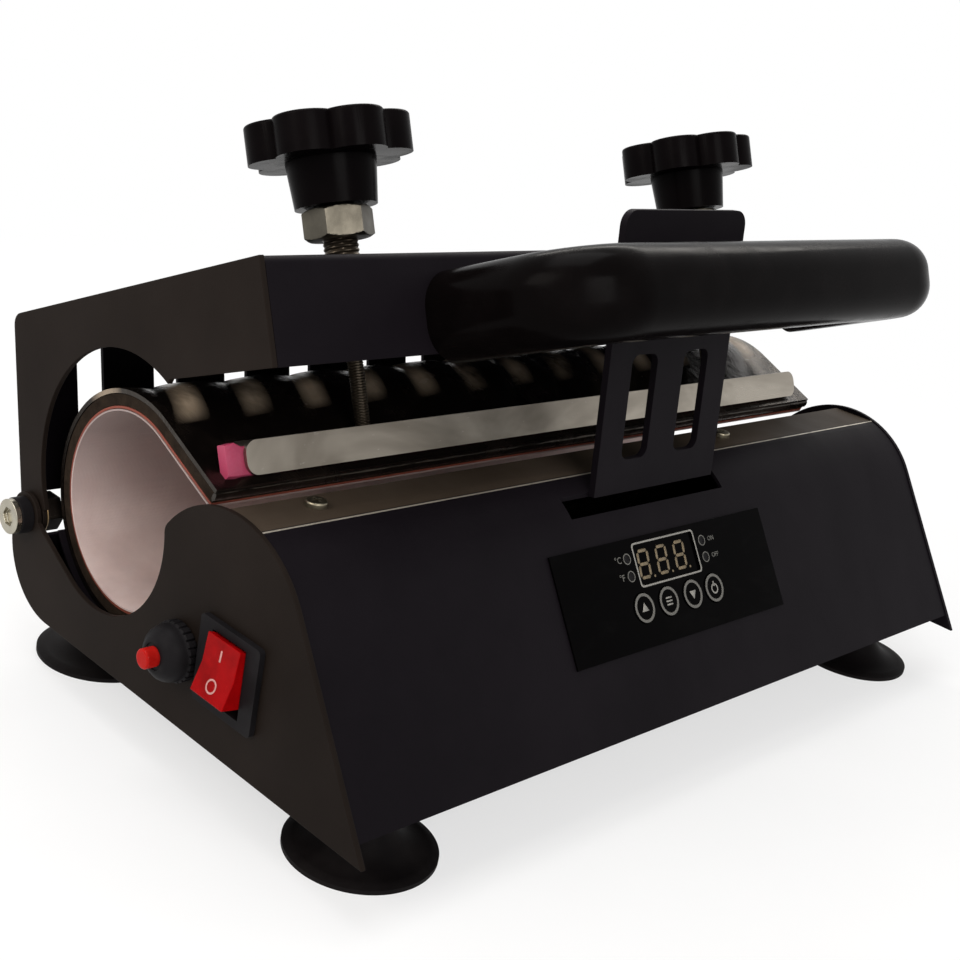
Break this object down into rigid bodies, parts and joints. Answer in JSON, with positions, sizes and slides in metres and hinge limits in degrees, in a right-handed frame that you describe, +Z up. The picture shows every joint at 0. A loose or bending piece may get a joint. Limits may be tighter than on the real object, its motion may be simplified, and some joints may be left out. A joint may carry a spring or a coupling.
{
  "type": "tumbler heat press",
  "caption": "Bench-top heat press for tumblers with a cylindrical heater wrap, a tilting frame with a bow handle, a clamp bar on two screw knobs and a digital control panel.",
  "frame": {"origin": "on the table, under the middle of the object's bounding box", "axes": "+X along the heater wrap to the side with the power inlet, +Y from the control panel to the rear hinge, +Z up"},
  "size_m": [0.3972, 0.2222, 0.2265],
  "materials": {
    "black_coat": "satin",
    "zinc": "satin",
    "bar_metal": "satin",
    "black_gloss_plastic": "gloss",
    "black_plastic": "matt",
    "red_plastic": "gloss",
    "black_rubber": "matt",
    "pink_silicone": "matt",
    "orange_silicone": "matt",
    "brown_felt": "matt",
    "black_cloth": "satin",
    "brass_bush": "satin",
    "window": "gloss",
    "board_green": "satin",
    "core_steel": "satin"
  },
  "bodies": {
    "base": {"end_plate_left": "black_coat", "end_plate_right": "black_coat", "front_panel": "black_coat", "lip_screws": "zinc", "wrap_strip": "zinc", "base_pan": "black_coat", "rear_cover": "black_coat", "foot_front_left": "black_rubber", "foot_front_right": "black_rubber", "foot_rear_left": "black_rubber", "foot_rear_right": "black_rubber", "foot_studs": "zinc", "wrap_liner": "pink_silicone", "wrap_heater": "orange_silicone", "wrap_felt": "brown_felt", "wrap_skin": "black_cloth", "wrap_cradle": "black_coat", "pivot_bolts": "zinc", "pivot_spacers": "zinc", "pivot_nuts": "zinc", "rocker_housing": "black_plastic", "breaker_body": "black_plastic", "breaker_nut": "black_plastic", "control_overlay": "black_gloss_plastic", "display_lens": "window", "led_display": "black_plastic", "key_switches": "black_plastic", "status_leds": "black_plastic", "control_board": "board_green", "board_standoffs": "zinc", "power_inlet": "black_plastic", "inlet_screws": "zinc", "solid_state_relay": "black_plastic", "transformer": "core_steel", "terminal_block": "black_plastic"},
    "upper_frame": {"frame_side_left": "black_coat", "frame_side_right": "black_coat", "frame_shell": "black_coat", "frame_rear": "black_coat", "rod_bosses": "zinc", "frame_bushes": "brass_bush", "handle_grip": "black_gloss_plastic", "handle_screws": "zinc", "latch_lugs": "black_coat", "latch_pin": "zinc"},
    "latch": {"latch_plate": "black_coat"},
    "bar": {"clamp_bar": "bar_metal", "bar_pad": "pink_silicone"},
    "knob_left": {"star_knob_left": "black_gloss_plastic", "jam_nut_left": "zinc", "threaded_rod_left": "zinc"},
    "knob_right": {"star_knob_right": "black_gloss_plastic", "jam_nut_right": "zinc", "threaded_rod_right": "zinc"},
    "rocker_switch": {"rocker": "red_plastic"},
    "reset": {"reset_button": "red_plastic"},
    "key_up_cap": {"key_up": "black_gloss_plastic"},
    "key_set_cap": {"key_set": "black_gloss_plastic"},
    "key_down_cap": {"key_down": "black_gloss_plastic"},
    "key_start_cap": {"key_start": "black_gloss_plastic"}
  },
  "joints": [
    {"name": "frame_hinge", "type": "hinge", "parent": "base", "child": "upper_frame", "pos_m": [0, 0.08887, 0.0576], "axis": [1, 0, 0], "range_deg": [-30, 4], "deforming": ["wrap_liner", "wrap_heater", "wrap_felt", "wrap_skin"]},
    {"name": "latch_hinge", "type": "hinge", "parent": "upper_frame", "child": "latch", "pos_m": [0, -0.03639, 0.1693], "axis": [-1, 0, 0], "range_deg": [0, 8], "stiffness_Nm_per_rad": 0.6, "springref_deg": -3.44},
    {"name": "bar_slide", "type": "slide", "parent": "upper_frame", "child": "bar", "axis": [0, -0.3939, -0.9191], "range_m": [-0.002, 0.008], "deforming": ["wrap_liner", "wrap_heater", "wrap_felt", "wrap_skin"]},
    {"name": "knob_left_turn", "type": "hinge", "parent": "bar", "child": "knob_left", "pos_m": [-0.10305, 0.02359, 0.16557], "axis": [0, -0.3939, -0.9191], "range_deg": [-360, 1440]},
    {"name": "knob_right_turn", "type": "hinge", "parent": "bar", "child": "knob_right", "pos_m": [0.11095, 0.02359, 0.16557], "axis": [0, -0.3939, -0.9191], "range_deg": [-360, 1440]},
    {"name": "rocker_tilt", "type": "hinge", "parent": "base", "child": "rocker_switch", "pos_m": [-0.17955, -0.03963, 0.0531], "axis": [0, -1, 0], "range_deg": [0, 26]},
    {"name": "reset_press", "type": "slide", "parent": "base", "child": "reset", "axis": [1, 0, 0], "range_m": [0, 0.0025], "stiffness_N_per_m": 600, "springref_m": -0.001},
    {"name": "key_up_press", "type": "slide", "parent": "base", "child": "key_up_cap", "axis": [0, 0.8281, -0.5606], "range_m": [0, 0.0004], "stiffness_N_per_m": 2000, "springref_m": -0.0003},
    {"name": "key_set_press", "type": "slide", "parent": "base", "child": "key_set_cap", "axis": [0, 0.8281, -0.5606], "range_m": [0, 0.0004], "stiffness_N_per_m": 2000, "springref_m": -0.0003},
    {"name": "key_down_press", "type": "slide", "parent": "base", "child": "key_down_cap", "axis": [0, 0.8281, -0.5606], "range_m": [0, 0.0004], "stiffness_N_per_m": 2000, "springref_m": -0.0003},
    {"name": "key_start_press", "type": "slide", "parent": "base", "child": "key_start_cap", "axis": [0, 0.8281, -0.5606], "range_m": [0, 0.0004], "stiffness_N_per_m": 2000, "springref_m": -0.0003}
  ],
  "couplings": [
    {"joint": "knob_left_turn", "follows": "bar_slide", "rad_per_m": 3141.6},
    {"joint": "knob_right_turn", "follows": "bar_slide", "rad_per_m": 3141.6}
  ]
}
